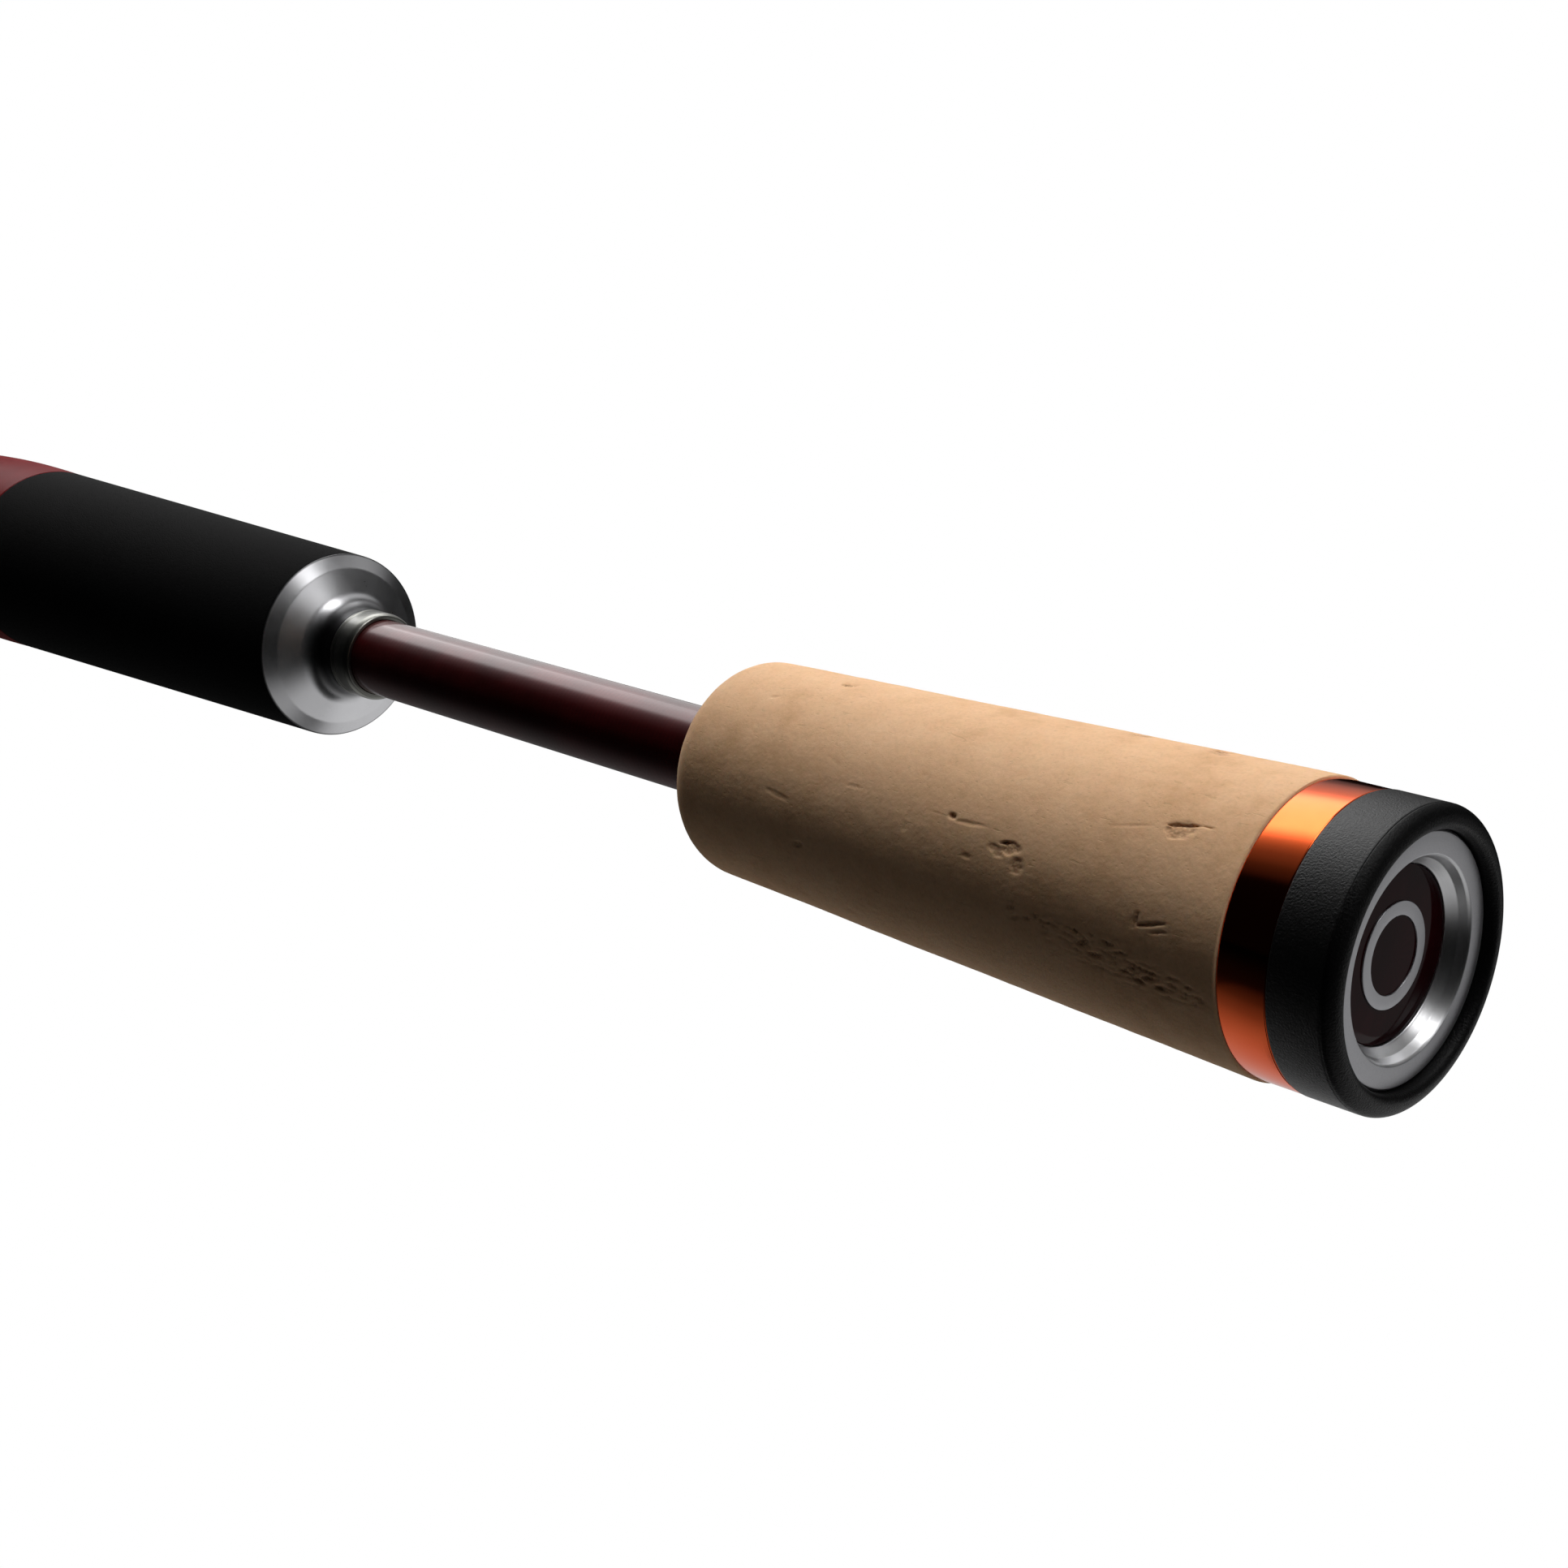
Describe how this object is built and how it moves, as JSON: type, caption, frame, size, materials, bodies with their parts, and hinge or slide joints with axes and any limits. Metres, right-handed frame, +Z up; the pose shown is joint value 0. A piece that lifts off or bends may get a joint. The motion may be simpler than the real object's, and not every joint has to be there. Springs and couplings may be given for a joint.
{
  "type": "ice fishing rod",
  "caption": "Short casting-style fishing rod with a split cork and foam handle, trigger reel seat with a screw-down sliding hood, ringed line guides and a folding hook keeper.",
  "frame": {"origin": "centre of the butt end, on the rod's axis at the rear of the rubber bumper", "axes": "+X along the rod from butt to tip, +Z up on the side of the reel and the line guides, +Y to the left"},
  "size_m": [1.0494, 0.027, 0.0559],
  "materials": {
    "butt_rubber": "fine-grained matte black rubber",
    "plug_metal": "turned, satin rim with a polished recess",
    "inlay_lacquer": "dark wine-red gloss",
    "nickel": "satin nickel",
    "copper_anodised": "polished copper-coloured anodising",
    "cork": "natural cork, sanded and sealed",
    "blank_lacquer": "deep wine-red clear-coated carbon blank",
    "collar_metal": "dark satin",
    "flare_metal": "satin turned",
    "foam": "matte closed-cell foam",
    "seat_lacquer": "glossy wine red",
    "arbor_foam": "rigid foam, hidden",
    "hood_metal": "satin gunmetal",
    "nut_metal": "anodised gunmetal, knurled",
    "check_metal": "polished",
    "wrap_thread": "wound thread under clear epoxy",
    "guide_metal": "smoked gunmetal",
    "keeper_wire": "stainless wire",
    "ring_ceramic": "polished dark ceramic"
  },
  "bodies": {
    "rod": {"butt_bumper": "butt_rubber", "butt_cap": "butt_rubber", "end_plug": "plug_metal", "inlay_disc": "inlay_lacquer", "inlay_ring": "nickel", "copper_ring": "copper_anodised", "cork_grip": "cork", "blank": "blank_lacquer", "collar": "collar_metal", "flare": "flare_metal", "foam_grip": "foam", "seat_body": "seat_lacquer", "rear_arbor": "arbor_foam", "front_arbor": "arbor_foam", "fixed_hood": "hood_metal", "fore_grip": "foam", "front_check": "check_metal", "front_wrap": "wrap_thread", "keeper_base": "guide_metal", "keeper_wrap_rear": "wrap_thread", "keeper_wrap_front": "wrap_thread", "guide_1_frame": "guide_metal", "guide_2_frame": "guide_metal", "guide_3_frame": "guide_metal", "guide_4_frame": "guide_metal", "guide_5_frame": "guide_metal", "guide_6_frame": "guide_metal", "guide_1_ring": "ring_ceramic", "guide_2_ring": "ring_ceramic", "guide_3_ring": "ring_ceramic", "guide_4_ring": "ring_ceramic", "guide_5_ring": "ring_ceramic", "guide_6_ring": "ring_ceramic", "guide_1_wrap_rear": "wrap_thread", "guide_1_wrap_front": "wrap_thread", "guide_2_wrap_rear": "wrap_thread", "guide_2_wrap_front": "wrap_thread", "guide_3_wrap": "wrap_thread", "guide_4_wrap": "wrap_thread", "guide_5_wrap": "wrap_thread", "guide_6_wrap": "wrap_thread", "tip_frame": "guide_metal", "tip_ring": "ring_ceramic", "tip_wrap": "wrap_thread"},
    "sliding_hood": {"sliding_hood": "hood_metal"},
    "lock_nut": {"lock_nut": "nut_metal"},
    "keeper_loop": {"keeper_loop": "keeper_wire"}
  },
  "joints": [
    {"name": "hood_slide", "type": "slide", "parent": "rod", "child": "sliding_hood", "axis": [-1, 0, 0], "range_m": [0, 0.018]},
    {"name": "nut_turn", "type": "hinge", "parent": "sliding_hood", "child": "lock_nut", "pos_m": [0.3497, 0, 0], "axis": [-1, 0, 0], "range_deg": [0, 3239]},
    {"name": "keeper_fold", "type": "hinge", "parent": "rod", "child": "keeper_loop", "pos_m": [0.442, 0, -0.00685], "axis": [0, 1, 0], "range_deg": [0, 175]}
  ],
  "couplings": [
    {"joint": "hood_slide", "follows": "nut_turn", "m_per_rad": 0.00031831}
  ]
}
